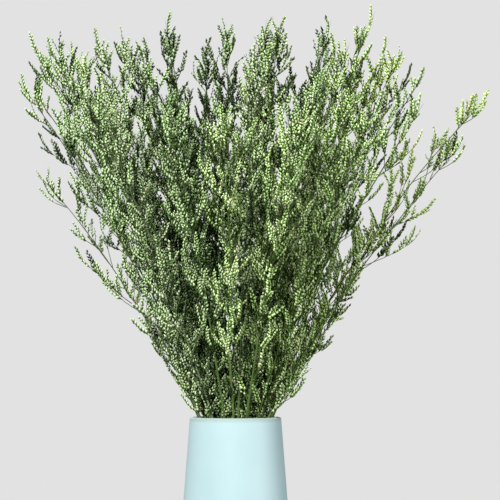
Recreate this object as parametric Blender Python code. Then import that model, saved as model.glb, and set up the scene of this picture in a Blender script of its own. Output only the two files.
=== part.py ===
"""A bunch of dried statice standing in a tapered ceramic vase.

Metres, +Z up. The origin is the middle of the vase's flat underside, -Y faces the viewer.
Every cut stem is one solid with its own side shoots and flower spikes, and stands free on the
vase's floor. The stems gather low in the vase, fan out at its mouth and never touch each other.
"""

import itertools
import math
import random
from dataclasses import dataclass, field

import bmesh
import bpy
import numpy as np
from mathutils import Matrix, Vector

UP = Vector((0, 0, 1))

# Vase
VASE_HEIGHT = 0.180
VASE_TOP_RADIUS = 0.0393
VASE_FOOT_RADIUS = 0.0533
VASE_WALL = 0.0045
VASE_FLOOR = 0.006
LIP_ROUND = 0.0018
FOOT_ROUND = 0.0030
ROUND_STEPS = 2
VASE_SIDES = 36

# Stems
TOUCH_GAP = 0.0003
STEM_RING_RADIUS = 0.0322
MOUTH_SPACING = 0.0070
EASING_ROUNDS = 60
WIDEST_LEAN = math.radians(39)
GATHERED_SHARE = 0.42
SPREAD_POWER = 3.9
OUTWARD_BEND = math.radians(9)
STEM_RADII = (0.00130, 0.00120, 0.00075)
SWAY = 0.0030
LEVELS_IN_VASE = (0.0, 0.6, 0.86, 1.0)
STEM_STEP = 0.060
SIDES = 3

# Stem tips: side, height above the vase's rim, and depth. The first ones draw the outline.
OUTLINE_TIPS = (
    (-0.172, 0.211, 0.012),
    (-0.187, 0.290, -0.020),
    (-0.180, 0.327, 0.030),
    (-0.163, 0.323, -0.050),
    (-0.148, 0.324, 0.066),
    (-0.123, 0.331, -0.012),
    (-0.101, 0.334, 0.045),
    (-0.081, 0.318, -0.072),
    (-0.061, 0.344, -0.020),
    (-0.028, 0.326, 0.062),
    (-0.009, 0.340, -0.045),
    (0.027, 0.346, 0.015),
    (0.039, 0.341, -0.062),
    (0.083, 0.344, -0.010),
    (0.100, 0.326, 0.060),
    (0.120, 0.349, -0.052),
    (0.134, 0.328, 0.025),
    (0.147, 0.320, 0.075),
    (0.163, 0.296, -0.030),
    (0.219, 0.278, 0.020),
    (0.198, 0.238, -0.042),
    (0.146, 0.187, 0.050),
    (0.125, 0.164, -0.020),
    (0.089, 0.090, 0.020),
    (0.065, 0.042, -0.030),
    (-0.090, 0.106, -0.030),
    (-0.082, 0.085, 0.022),
)
INNER_STEMS = 17
INNER_LEAN = math.radians(36)
INNER_REACH = (0.300, 0.345)
INNER_TRIES = 60

# Side shoots: where they leave the stem, how long they are, and how far they lean from it
FIRST_SHOOT = 0.014
SHOOT_STEP = 0.0222
LAST_SHOOT = 0.030
GOLDEN_ANGLE = math.radians(137.5)
SHOOT_LEAN = (math.radians(22), math.radians(38))
SHOOT_RISE = 0.30
SHORT_SHOOT = (0.026, 0.033)
LONG_SHOOT = (0.048, 0.062)
LONG_FROM, LONG_NEEDS = 0.085, 0.055
END_SPIKE = 0.036
SHOOT_TRIES = 9
ROOM = 0.0007

# A shoot is a slim core, and its florets stand out of it in pointed tufts
NECK_RADIUS = 0.0010
CORE_RADIUS = 0.0020
TUFT_REACH = 0.0048
SIDE_TUFT_AT, TOP_TUFT_AT = 0.80, 0.60
TOP_TUFT_SHARE = 0.80

SEED = 2417


@dataclass
class Twig:
    """One tube of a stem: its points, its radius at each, and the tufts on its bands.

    tufts maps a band, counted from the first, to how far along it and how far from the line its
    tufts' tips are.
    """

    points: list
    radii: list
    tufts: dict

    def reach(self, k):
        """How far from the line the twig stands out at point k, with the tufts of the band below."""
        return max(self.radii[k], self.tufts.get(k - 1, (0, 0))[1])


@dataclass
class Stem:
    """A cut stem: its own line first, then every shoot and spike that grows from it."""

    name: str
    twigs: list


@dataclass
class Place:
    """Where a shoot leaves its stem: how far along it, how far above the mouth, how far is left."""

    length: float
    above: float
    left: float


@dataclass
class Taken:
    """The lines already grown, as arrays, so that a new one can be kept clear of other stems."""

    starts: list = field(default_factory=list)
    ends: list = field(default_factory=list)
    radii: list = field(default_factory=list)
    owners: list = field(default_factory=list)

    def add(self, twig, owner):
        for k in range(len(twig.points) - 1):
            self.starts.append(twig.points[k][:])
            self.ends.append(twig.points[k + 1][:])
            self.radii.append((twig.reach(k), twig.reach(k + 1)))
            self.owners.append(owner)

    def gap(self, twig, owner):
        """The smallest gap between this twig and every line of another stem."""
        others = np.array(self.owners) != owner
        starts, ends = np.array(self.starts)[others], np.array(self.ends)[others]
        radii = np.array(self.radii)[others]
        gaps = []
        for k in range(len(twig.points) - 1):
            own = (twig.reach(k), twig.reach(k + 1))
            gaps.append(line_gaps(twig.points[k], twig.points[k + 1], own, starts, ends, radii))
        return float(min(gaps))


def line_gaps(start, end, own_radii, starts, ends, radii):
    """The least gap between one tapered line and many, by the nearest points of their axes."""
    p, d = np.array(start), np.array(end) - np.array(start)
    e = ends - starts
    r = p - starts
    dd, ee, de = d @ d, (e * e).sum(1), e @ d
    er, dr = (e * r).sum(1), r @ d
    s = np.clip((de * er - dr * ee) / np.maximum(dd * ee - de * de, 1e-18), 0, 1)
    t = np.clip((de * s + er) / ee, 0, 1)
    s = np.clip((de * t - dr) / dd, 0, 1)
    apart = np.linalg.norm(p + s[:, None] * d - starts - t[:, None] * e, axis=1)
    own = own_radii[0] + s * (own_radii[1] - own_radii[0])
    theirs = radii[:, 0] + t * (radii[:, 1] - radii[:, 0])
    return (apart - own - theirs).min()


def lean_of(tip):
    """The two angles, to the side and in depth, at which a tip is seen from the vase's mouth."""
    height = tip.z - VASE_HEIGHT
    return math.atan2(tip.x, height), math.atan2(tip.y, height)


def stem_tips(rng):
    """The outline's tips, then inner ones, each in the widest gap left between the leans so far."""
    tips = [Vector((side, depth, VASE_HEIGHT + height)) for side, height, depth in OUTLINE_TIPS]
    leans = [lean_of(tip) for tip in tips]
    for _ in range(INNER_STEMS):
        best, widest = None, -1.0
        for _ in range(INNER_TRIES):
            lean, turn = INNER_LEAN * math.sqrt(rng.random()), rng.uniform(0, 2 * math.pi)
            found = (lean * math.cos(turn), lean * math.sin(turn))
            space = min(math.dist(found, other) for other in leans)
            if space > widest:
                best, widest = found, space
        leans.append(best)
        ray = Vector((math.tan(best[0]), math.tan(best[1]), 1)).normalized()
        tips.append(Vector((0, 0, VASE_HEIGHT)) + ray * rng.uniform(*INNER_REACH))
    return tips


def lean_share(tip):
    """How far a stem leans, from 0 where it is upright to 1 where it leans the most."""
    return min(math.atan2(math.hypot(tip.x, tip.y), tip.z - VASE_HEIGHT) / WIDEST_LEAN, 1)


def mouth_places(tips):
    """Where each stem crosses the vase's mouth: further out the more it leans, then eased apart."""
    places = [Vector((tip.x, tip.y, 0)).normalized() * STEM_RING_RADIUS * lean_share(tip) for tip in tips]
    for _ in range(EASING_ROUNDS):
        for one, other in itertools.combinations(places, 2):
            apart = one - other
            push = apart.normalized() * max(MOUTH_SPACING - apart.length, 0) / 2
            one += push
            other -= push
        for place in places:
            place *= min(STEM_RING_RADIUS / place.length, 1)
    return places


def stem_line(place, tip, rng):
    """A stem from the vase's floor to its tip: gathered below, fanned at the mouth, arching out."""
    floor = VASE_FLOOR + TOUCH_GAP
    points = []
    for level in LEVELS_IN_VASE:
        share = GATHERED_SHARE + (1 - GATHERED_SHARE) * level**SPREAD_POWER
        points.append(place * share + UP * (floor + (VASE_HEIGHT - floor) * level))
    mouth, chord = points[-1], tip - points[-1]
    inward = (UP - chord * chord.z / chord.length_squared).normalized()
    bend = math.tan(OUTWARD_BEND * lean_share(tip))
    middle = (mouth + tip) / 2 + inward * chord.length / 2 * bend
    sideways = chord.cross(inward).normalized()
    sway = [(axis, rng.uniform(-SWAY, SWAY), rng.uniform(0.8, 1.6)) for axis in (inward, sideways)]
    neck = max(1 - END_SPIKE / chord.length, 0.5)
    steps = max(round(chord.length * neck / STEM_STEP), 2)
    shares = [neck * step / steps for step in range(1, steps + 1)] + [(1 + neck) / 2, 1.0]
    for s in shares:
        point = mouth * (1 - s) ** 2 + middle * 2 * s * (1 - s) + tip * s * s
        for axis, reach, waves in sway:
            point = point + axis * reach * math.sin(2 * math.pi * waves * s) * math.sin(math.pi * s)
        points.append(point)
    return points


def stem_twig(points):
    """The stem as a tapered tube that ends in its own tufted spike."""
    foot, mouth, top = STEM_RADII
    above = len(points) - len(LEVELS_IN_VASE) - 2
    radii = [foot + (mouth - foot) * level for level in LEVELS_IN_VASE]
    radii += [mouth + (top - mouth) * step / above for step in range(1, above + 1)]
    neck = len(points) - 3
    tufts = {neck: (SIDE_TUFT_AT, TUFT_REACH), neck + 1: (TOP_TUFT_AT, TUFT_REACH * TOP_TUFT_SHARE)}
    return Twig(points, radii + [CORE_RADIUS, 0.0], tufts)


def at_length(points, length):
    """The point this far along a line, and the line's direction there."""
    for start, end in zip(points, points[1:]):
        step = (end - start).length
        if length <= step:
            return start.lerp(end, length / step), (end - start).normalized()
        length -= step
    return points[-1].copy(), (points[-1] - points[-2]).normalized()


def length_of(points):
    return sum((end - start).length for start, end in zip(points, points[1:]))


def short_shoot(root, way, length, reach):
    """A spike that widens from the stem to its core, and from there has tufts to its tip."""
    core = root + way * length * 0.38
    tip = core + (way + UP * SHOOT_RISE).normalized() * length * 0.62
    return Twig([root, core, tip], [0.0, CORE_RADIUS, 0.0], {1: (TOP_TUFT_AT, reach)})


def long_shoot(root, way, length, reach):
    """A stalk, then a core with tufts round its middle and round its top."""
    later = (way + UP * SHOOT_RISE).normalized()
    neck = root + way * length * 0.30
    core, tip = neck + later * length * 0.35, neck + later * length * 0.70
    tufts = {1: (SIDE_TUFT_AT, reach), 2: (TOP_TUFT_AT, reach * TOP_TUFT_SHARE)}
    return Twig([root, neck, core, tip], [0.0, NECK_RADIUS, CORE_RADIUS, 0.0], tufts)


def side_way(along, turn, lean):
    """A direction that leans from the parent's by this much, turned this far round it."""
    across = along.orthogonal().normalized()
    across.rotate(Matrix.Rotation(turn, 3, along))
    way = along * math.cos(lean) + across * math.sin(lean)
    return (way + UP * SHOOT_RISE * math.sin(lean)).normalized()


def grow_shoot(stem, level, place, turn, taken, rng):
    """Adds a shoot here, by the first of a few tries that keeps clear of every other stem. Each
    try turns further from its place round the stem, and is smaller."""
    root, along = at_length(stem.twigs[0].points, place.length)
    is_long = place.left > LONG_NEEDS and place.above > LONG_FROM and level % 2 == 0
    for attempt in range(SHOOT_TRIES):
        effort = attempt / SHOOT_TRIES
        shrink = 1 - 0.6 * effort
        turned = turn + rng.uniform(-1, 1) * (0.35 + math.pi * effort)
        way = side_way(along, turned, rng.uniform(*SHOOT_LEAN))
        reach = TUFT_REACH * rng.uniform(0.85, 1.1) * shrink
        if is_long:
            twig = long_shoot(root, way, rng.uniform(*LONG_SHOOT) * shrink, reach)
        else:
            twig = short_shoot(root, way, rng.uniform(*SHORT_SHOOT) * shrink, reach * 0.85)
        if taken.gap(twig, stem.name) > ROOM:
            taken.add(twig, stem.name)
            stem.twigs.append(twig)
            return


def shoot_places(stem):
    """Where shoots leave a stem, from just above the vase's mouth to near its tip."""
    line = stem.twigs[0].points
    mouth, whole = length_of(line[: len(LEVELS_IN_VASE)]), length_of(line)
    above = FIRST_SHOOT
    while above < whole - mouth - LAST_SHOOT:
        yield Place(mouth + above, above, whole - mouth - above)
        above += SHOOT_STEP


def grow_bunch():
    """Every stem of the bunch: all main lines first, then the shoots, level by level."""
    rng = random.Random(SEED)
    taken = Taken()
    stems = []
    tips = stem_tips(rng)
    for number, (place, tip) in enumerate(zip(mouth_places(tips), tips)):
        stem = Stem(f"stem_{number + 1:02d}", [stem_twig(stem_line(place, tip, rng))])
        taken.add(stem.twigs[0], stem.name)
        stems.append(stem)
    places = {stem.name: list(shoot_places(stem)) for stem in stems}
    turns = {stem.name: rng.uniform(0, 2 * math.pi) for stem in stems}
    for level in range(max(len(found) for found in places.values())):
        for stem in stems:
            if level >= len(places[stem.name]):
                continue
            turns[stem.name] += GOLDEN_ANGLE
            grow_shoot(stem, level, places[stem.name][level], turns[stem.name], taken, rng)
    return stems


def material(name, colour, roughness):
    """A Principled material of one colour."""
    made = bpy.data.materials.new(name)
    made.use_nodes = True
    shader = made.node_tree.nodes["Principled BSDF"]
    shader.inputs["Base Color"].default_value = (*colour, 1)
    shader.inputs["Roughness"].default_value = roughness
    shader.inputs["Metallic"].default_value = 0.0
    return made


def object_of(name, bm, look, collection):
    """A new object that holds this bmesh."""
    mesh = bpy.data.meshes.new(name)
    bm.to_mesh(mesh)
    bm.free()
    mesh.materials.append(look)
    made = bpy.data.objects.new(name, mesh)
    collection.objects.link(made)
    return made


def tube(twig):
    """A closed tube along a twig, its rings square to the line, with its tufts drawn out. A radius
    of 0 closes it in a point."""
    bm = bmesh.new()
    points = twig.points
    across = (points[1] - points[0]).orthogonal().normalized()
    rings = []
    for k, (point, radius) in enumerate(zip(points, twig.radii)):
        along = (points[min(k + 1, len(points) - 1)] - points[max(k - 1, 0)]).normalized()
        across = (across - along * across.dot(along)).normalized()
        corners = [Matrix.Rotation(2 * math.pi * side / SIDES, 3, along) @ across for side in range(SIDES)]
        rings.append([bm.verts.new(point + corner * radius) for corner in corners[: SIDES if radius else 1]])
    if len(rings[0]) > 1:
        bm.faces.new(rings[0])
    for band, (lower, upper) in enumerate(zip(rings, rings[1:])):
        faces = []
        for side in range(SIDES):
            after = (side + 1) % SIDES
            corners = (lower[side % len(lower)], lower[after % len(lower)])
            corners += (upper[after % len(upper)], upper[side % len(upper)])
            faces.append(bm.faces.new(dict.fromkeys(corners)))
        if band in twig.tufts:
            draw_tufts(bm, faces, points[band], points[band + 1], *twig.tufts[band])
    bmesh.ops.recalc_face_normals(bm, faces=bm.faces)
    return bm


def draw_tufts(bm, faces, start, end, at, reach):
    """Pokes each face of a band and draws the new point out to this distance from the line."""
    along = (end - start).normalized()
    for vert in bmesh.ops.poke(bm, faces=faces)["verts"]:
        out = vert.co - start
        out = (out - along * out.dot(along)).normalized()
        vert.co = start.lerp(end, at) + out * reach


def build_stem(stem, look):
    """One solid for a whole stem: its shoots and spikes are joined to it by a union."""
    scene = bpy.context.scene.collection
    body = object_of(stem.name, tube(stem.twigs[0]), look, scene)
    shoots = bpy.data.collections.new("shoots")
    scene.children.link(shoots)
    for number, twig in enumerate(stem.twigs[1:]):
        object_of(f"shoot_{number}", tube(twig), look, shoots)
    join = body.modifiers.new("join", "BOOLEAN")
    join.operation = "UNION"
    join.operand_type = "COLLECTION"
    join.collection = shoots
    join.solver = "MANIFOLD"
    bpy.context.view_layer.objects.active = body
    bpy.ops.object.modifier_apply(modifier=join.name)
    for helper in list(shoots.objects):
        bpy.data.objects.remove(helper)
    bpy.data.collections.remove(shoots)
    return body


def vase_profile():
    """The vase's wall in section, from the middle of its underside, round the lip, to the middle
    of its floor inside."""

    def wall_radius(height):
        share = height / VASE_HEIGHT
        return VASE_FOOT_RADIUS + (VASE_TOP_RADIUS - VASE_FOOT_RADIUS) * share

    quarter = [math.pi / 2 * step / ROUND_STEPS for step in range(ROUND_STEPS + 1)]
    foot = Vector((wall_radius(FOOT_ROUND) - FOOT_ROUND, 0, FOOT_ROUND))
    outer = Vector((wall_radius(VASE_HEIGHT - LIP_ROUND) - LIP_ROUND, 0, VASE_HEIGHT - LIP_ROUND))
    inner = outer - Vector((VASE_WALL - 2 * LIP_ROUND, 0, 0))
    corner = Vector((wall_radius(VASE_FLOOR) - VASE_WALL, 0, VASE_FLOOR))
    points = [Vector((0, 0, 0))]
    points += [foot + Vector((math.sin(a), 0, -math.cos(a))) * FOOT_ROUND for a in quarter]
    points += [outer + Vector((math.cos(a), 0, math.sin(a))) * LIP_ROUND for a in quarter]
    points += [inner + Vector((-math.sin(a), 0, math.cos(a))) * LIP_ROUND for a in quarter]
    return points + [corner, Vector((0, 0, VASE_FLOOR))]


def build_vase(look):
    """The hollow vase, turned round its axis."""
    bm = bmesh.new()
    verts = [bm.verts.new(point) for point in vase_profile()]
    edges = [bm.edges.new(pair) for pair in zip(verts, verts[1:])]
    bmesh.ops.spin(
        bm,
        geom=verts + edges,
        axis=(0, 0, 1),
        cent=(0, 0, 0),
        angle=2 * math.pi,
        steps=VASE_SIDES,
        use_merge=True,
    )
    bmesh.ops.remove_doubles(bm, verts=bm.verts, dist=1e-5)
    bmesh.ops.recalc_face_normals(bm, faces=bm.faces)
    vase = object_of("vase", bm, look, bpy.context.scene.collection)
    vase.data.shade_smooth()
    vase.data.set_sharp_from_angle(angle=math.radians(40))
    return vase


def main():
    for old in list(bpy.data.objects):
        bpy.data.objects.remove(old)
    glaze = material("aqua_glaze", (0.56, 0.80, 0.82), 0.38)
    plant = material("dried_green", (0.16, 0.24, 0.09), 0.80)
    build_vase(glaze)
    for stem in grow_bunch():
        build_stem(stem, plant)


main()
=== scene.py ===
"""A bunch of dried statice in a tapered ceramic vase: its florets, twigs, glaze and studio.

Metres, +Z up. The origin is the middle of the vase's flat underside, -Y faces the viewer.
Each cut stem of the frame is replaced by a spray that follows the same course: a round stem, a
branchlet where the frame has a shoot, finer ones in between, and ears of small florets on all.
"""

import itertools
import logging
import math
import random
from collections.abc import Iterator
from dataclasses import dataclass, field
from enum import Enum

import bmesh
import bpy
import numpy as np
from mathutils import Matrix, Vector


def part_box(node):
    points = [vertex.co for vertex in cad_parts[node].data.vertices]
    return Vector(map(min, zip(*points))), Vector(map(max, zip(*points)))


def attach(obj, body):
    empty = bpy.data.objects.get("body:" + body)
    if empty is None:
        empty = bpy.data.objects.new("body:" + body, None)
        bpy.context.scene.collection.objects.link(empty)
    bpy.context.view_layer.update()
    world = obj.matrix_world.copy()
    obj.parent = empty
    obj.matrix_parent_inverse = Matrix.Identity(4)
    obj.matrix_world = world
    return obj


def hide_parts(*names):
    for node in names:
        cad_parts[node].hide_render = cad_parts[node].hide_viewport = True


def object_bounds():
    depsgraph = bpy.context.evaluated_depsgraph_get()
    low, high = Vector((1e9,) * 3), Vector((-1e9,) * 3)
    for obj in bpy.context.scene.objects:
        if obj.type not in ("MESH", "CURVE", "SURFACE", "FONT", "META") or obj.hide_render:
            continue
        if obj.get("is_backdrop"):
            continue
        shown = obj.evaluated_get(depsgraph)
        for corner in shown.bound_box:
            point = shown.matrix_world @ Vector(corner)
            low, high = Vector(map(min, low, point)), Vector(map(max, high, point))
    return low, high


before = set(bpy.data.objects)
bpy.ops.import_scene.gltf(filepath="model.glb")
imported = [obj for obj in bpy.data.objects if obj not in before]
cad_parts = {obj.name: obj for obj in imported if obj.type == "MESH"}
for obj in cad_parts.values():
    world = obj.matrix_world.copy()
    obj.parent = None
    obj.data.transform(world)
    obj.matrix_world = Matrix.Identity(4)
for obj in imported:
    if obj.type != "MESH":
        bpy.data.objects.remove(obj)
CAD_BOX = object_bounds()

Span = tuple[float, float]
Colour = tuple[float, float, float]

LOG = logging.getLogger("statice")
UP = Vector((0, 0, 1))
BODY = "root"
FULL_TURN = 2 * math.pi
GOLDEN_ANGLE = math.radians(137.5)

# The plant's UV map is a colour chart: across it the tint, low for painted shade and high for faded and
# dried, up it first the stems, then the florets
CHART = "OFBake"
TINT_WIDTH = 0.03
STEM_BAND = (0.02, 0.28)
FLORET_BAND = (0.36, 0.99)

# Stem tips: side, height above the vase's rim, and depth. The first ones draw the outline.
OUTLINE_TIPS = (
    (-0.172, 0.211, 0.012),
    (-0.187, 0.290, -0.020),
    (-0.180, 0.327, 0.030),
    (-0.163, 0.323, -0.050),
    (-0.148, 0.324, 0.066),
    (-0.123, 0.331, -0.012),
    (-0.101, 0.334, 0.045),
    (-0.081, 0.318, -0.072),
    (-0.061, 0.344, -0.020),
    (-0.028, 0.326, 0.062),
    (-0.009, 0.340, -0.045),
    (0.027, 0.346, 0.015),
    (0.039, 0.341, -0.062),
    (0.083, 0.344, -0.010),
    (0.100, 0.326, 0.060),
    (0.120, 0.349, -0.052),
    (0.134, 0.328, 0.025),
    (0.147, 0.320, 0.075),
    (0.163, 0.296, -0.030),
    (0.219, 0.278, 0.020),
    (0.198, 0.238, -0.042),
    (0.146, 0.187, 0.050),
    (0.125, 0.164, -0.020),
    (0.089, 0.090, 0.020),
    (0.065, 0.042, -0.030),
    (-0.090, 0.106, -0.030),
    (-0.082, 0.085, 0.022),
)


def mix_numbers(low: float, high: float, share: float) -> float:
    """The number this share of the way from low to high."""
    return low + (high - low) * share


def placed(value: float, span: Span, ends: Span = (0.0, 1.0)) -> float:
    """The number that lies between two ends as a value does in a span, held at both."""
    return float(np.interp(value, span, ends))


def add_object(name: str, data: bpy.types.ID) -> bpy.types.Object:
    """A new object in the scene."""
    made = bpy.data.objects.new(name, data)
    bpy.context.scene.collection.objects.link(made)
    return made


# The skeleton of the bunch, by the same rule and draws as the frame's solids


@dataclass
class Twig:
    """One line of the skeleton: its points, and how far the solid stands out from each."""

    points: list[Vector]
    reaches: list[float]


@dataclass
class Stem:
    """A cut stem: its own line first, then every shoot that grows from it, with its root."""

    name: str
    twigs: list[Twig]
    roots: list[float] = field(default_factory=list)


@dataclass(frozen=True)
class Place:
    """Where a shoot leaves its stem: how far along, how far above the mouth, and what is left."""

    length: float
    above: float
    left: float


@dataclass
class Taken:
    """The lines already grown: the start, end and reaches of each, and the stem it is part of."""

    lines: list[tuple[float, ...]] = field(default_factory=list)
    owners: list[str] = field(default_factory=list)

    def add(self, twig: Twig, owner: str) -> None:
        """Takes up the room of each run of a twig."""
        for k, (start, end) in enumerate(zip(twig.points, twig.points[1:])):
            self.lines.append((*start, *end, *twig.reaches[k : k + 2]))
            self.owners.append(owner)

    def gap(self, twig: Twig, owner: str) -> float:
        """The least gap between a twig and all stems but its own, below 0 where they cross."""
        others = np.array(self.lines)[np.array(self.owners) != owner]
        runs = enumerate(zip(twig.points, twig.points[1:]))
        return min(line_gap(start, end, twig.reaches[k : k + 2], others) for k, (start, end) in runs)


def line_gap(start: Vector, end: Vector, reaches: list[float], others: np.ndarray) -> float:
    """The least gap between one tapered line and many, by the nearest points of their axes.

    Args:
        start: Where the line starts.
        end: Where it ends.
        reaches: How far it stands out at each of the two.
        others: The other lines, one in each row: start, end, and reach at both.

    Returns:
        The gap between surfaces, in metres.
    """
    starts, theirs = others[:, :3], others[:, 6:]
    p, d = np.array(start), np.array(end) - np.array(start)
    e = others[:, 3:6] - starts
    r = p - starts
    dd, ee, de = d @ d, (e * e).sum(1), e @ d
    er, dr = (e * r).sum(1), r @ d
    s = np.clip((de * er - dr * ee) / np.maximum(dd * ee - de * de, 1e-18), 0, 1)
    t = np.clip((de * s + er) / ee, 0, 1)
    s = np.clip((de * t - dr) / dd, 0, 1)
    apart = np.linalg.norm(p + s[:, None] * d - starts - t[:, None] * e, axis=1)
    near = reaches[0] + s * (reaches[1] - reaches[0])
    far = theirs[:, 0] + t * (theirs[:, 1] - theirs[:, 0])
    return float((apart - near - far).min())


def run_lengths(points: list[Vector]) -> list[float]:
    """The length of each straight run of a line."""
    return [(end - start).length for start, end in zip(points, points[1:])]


def at_length(points: list[Vector], length: float) -> tuple[Vector, Vector]:
    """The point this far along a line of straight runs, and the run's direction there."""
    for start, end in zip(points, points[1:]):
        step = (end - start).length
        if length <= step:
            return start.lerp(end, length / step), (end - start).normalized()
        length -= step
    return points[-1].copy(), (points[-1] - points[-2]).normalized()


def side_way(along: Vector, turn: float, lean: float, rise: float) -> Vector:
    """A direction that leans from its parent's and lifts a little.

    Args:
        along: The parent's direction.
        turn: How far round the parent it leaves.
        lean: How far it leans from the parent.
        rise: How much it lifts, for each unit of its lean's sine.

    Returns:
        The direction, of length 1.
    """
    across = along.orthogonal().normalized()
    across.rotate(Matrix.Rotation(turn, 3, along))
    way = along * math.cos(lean) + across * math.sin(lean)
    return (way + UP * rise * math.sin(lean)).normalized()


@dataclass(frozen=True)
class BunchPlan:
    """The course of all stems and shoots: gathered in the vase, fanned out above its mouth."""

    seed: int = 2417
    vase_height: float = 0.180
    floor_height: float = 0.006
    touch_gap: float = 0.0003
    ring_radius: float = 0.0322
    mouth_spacing: float = 0.0070
    easing_rounds: int = 60
    widest_lean: float = math.radians(39)
    gathered_share: float = 0.42
    spread_power: float = 3.9
    outward_bend: float = math.radians(9)
    stem_radii: tuple[float, float, float] = (0.00130, 0.00120, 0.00075)
    sway: float = 0.0030
    sway_waves: Span = (0.8, 1.6)
    levels_in_vase: tuple[float, ...] = (0.0, 0.6, 0.86, 1.0)
    stem_step: float = 0.060
    inner_stems: int = 17
    inner_lean: float = math.radians(36)
    inner_reach: Span = (0.300, 0.345)
    inner_tries: int = 60
    first_shoot: float = 0.014
    shoot_step: float = 0.0222
    last_shoot: float = 0.030
    shoot_lean: Span = (math.radians(22), math.radians(38))
    shoot_rise: float = 0.30
    shoot_turn: float = 0.35
    short_shoot: Span = (0.026, 0.033)
    short_bend: float = 0.38
    long_shoot: Span = (0.048, 0.062)
    long_bend: float = 0.30
    long_from: float = 0.085
    long_needs: float = 0.055
    end_spike: float = 0.036
    shoot_tries: int = 9
    most_shrink: float = 0.6
    room: float = 0.0007
    neck_radius: float = 0.0010
    core_radius: float = 0.0020
    tuft_reach: float = 0.0048
    tuft_spread: Span = (0.85, 1.1)
    short_tuft_share: float = 0.85
    top_tuft_share: float = 0.80

    def lean_of(self, tip: Vector) -> Span:
        """The two angles, to the side and in depth, of a tip seen from the vase's mouth."""
        height = tip.z - self.vase_height
        return math.atan2(tip.x, height), math.atan2(tip.y, height)

    def lean_share(self, tip: Vector) -> float:
        """How far a stem leans, from 0 where it is upright to 1 where it leans the most."""
        lean = math.atan2(math.hypot(tip.x, tip.y), tip.z - self.vase_height)
        return min(lean / self.widest_lean, 1)

    def stem_tips(self, rng: random.Random) -> list[Vector]:
        """The outline's tips, then inner ones, each in the widest gap left between the leans."""
        tips = [Vector((side, depth, self.vase_height + up)) for side, up, depth in OUTLINE_TIPS]
        leans = [self.lean_of(tip) for tip in tips]
        for _ in range(self.inner_stems):
            best, widest = (0.0, 0.0), -1.0
            for _ in range(self.inner_tries):
                lean, turn = self.inner_lean * math.sqrt(rng.random()), rng.uniform(0, FULL_TURN)
                found = (lean * math.cos(turn), lean * math.sin(turn))
                space = min(math.dist(found, other) for other in leans)
                if space > widest:
                    best, widest = found, space
            leans.append(best)
            ray = Vector((math.tan(best[0]), math.tan(best[1]), 1)).normalized()
            tips.append(Vector((0, 0, self.vase_height)) + ray * rng.uniform(*self.inner_reach))
        return tips

    def mouth_places(self, tips: list[Vector]) -> list[Vector]:
        """Where stems cross the mouth: further out the more they lean, then eased apart."""
        places = []
        for tip in tips:
            outward = Vector((tip.x, tip.y, 0)).normalized()
            places.append(outward * self.ring_radius * self.lean_share(tip))
        for _ in range(self.easing_rounds):
            for one, other in itertools.combinations(places, 2):
                apart = one - other
                push = apart.normalized() * max(self.mouth_spacing - apart.length, 0) / 2
                one += push
                other -= push
            for place in places:
                place *= min(self.ring_radius / place.length, 1)
        return places

    def stem_line(self, place: Vector, tip: Vector, rng: random.Random) -> list[Vector]:
        """A stem from the vase's floor to its tip.

        Args:
            place: Where it crosses the mouth, from the axis.
            tip: Where it ends.
            rng: Draws how the stem sways.

        Returns:
            Its points, gathered below, fanned at the mouth and arching out above it.
        """
        floor = self.floor_height + self.touch_gap
        points = []
        for level in self.levels_in_vase:
            share = self.gathered_share + (1 - self.gathered_share) * level**self.spread_power
            points.append(place * share + UP * (floor + (self.vase_height - floor) * level))
        mouth, chord = points[-1], tip - points[-1]
        inward = (UP - chord * chord.z / chord.length_squared).normalized()
        bend = math.tan(self.outward_bend * self.lean_share(tip))
        middle = (mouth + tip) / 2 + inward * chord.length / 2 * bend
        sway = [
            (axis, rng.uniform(-self.sway, self.sway), rng.uniform(*self.sway_waves))
            for axis in (inward, chord.cross(inward).normalized())
        ]
        neck = max(1 - self.end_spike / chord.length, 0.5)
        steps = max(round(chord.length * neck / self.stem_step), 2)
        shares = [neck * step / steps for step in range(1, steps + 1)] + [(1 + neck) / 2, 1.0]
        for s in shares:
            point = mouth * (1 - s) ** 2 + middle * 2 * s * (1 - s) + tip * s * s
            for axis, reach, waves in sway:
                turn = math.sin(FULL_TURN * waves * s) * math.sin(math.pi * s)
                point = point + axis * reach * turn
            points.append(point)
        return points

    def stem_twig(self, points: list[Vector]) -> Twig:
        """The stem's own line, which ends in a tufted spike."""
        foot, mouth, top = self.stem_radii
        above = len(points) - len(self.levels_in_vase) - 2
        radii = [mix_numbers(foot, mouth, level) for level in self.levels_in_vase]
        radii += [mouth + (top - mouth) * step / above for step in range(1, above + 1)]
        return Twig(points, radii + [self.tuft_reach, self.tuft_reach * self.top_tuft_share])

    def shoot(self, root: Vector, way: Vector, length: float, reach: float, is_long: bool) -> Twig:
        """A side shoot.

        Args:
            root: Where it leaves its stem.
            way: Its direction there.
            length: Its whole length.
            reach: How far its tufts stand out.
            is_long: Whether it has a stalk of its own and two rings of tufts, not one.

        Returns:
            Its line, which lifts from its bend on.
        """
        bend = self.long_bend if is_long else self.short_bend
        later = (way + UP * self.shoot_rise).normalized()
        middle = root + way * length * bend
        tip = middle + later * length * (1 - bend)
        if not is_long:
            return Twig([root, middle, tip], [0.0, self.core_radius, reach])
        core = middle + later * length * ((1 - bend) / 2)
        widest = max(self.core_radius, reach)
        reaches = [0.0, self.neck_radius, widest, reach * self.top_tuft_share]
        return Twig([root, middle, core, tip], reaches)

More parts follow.
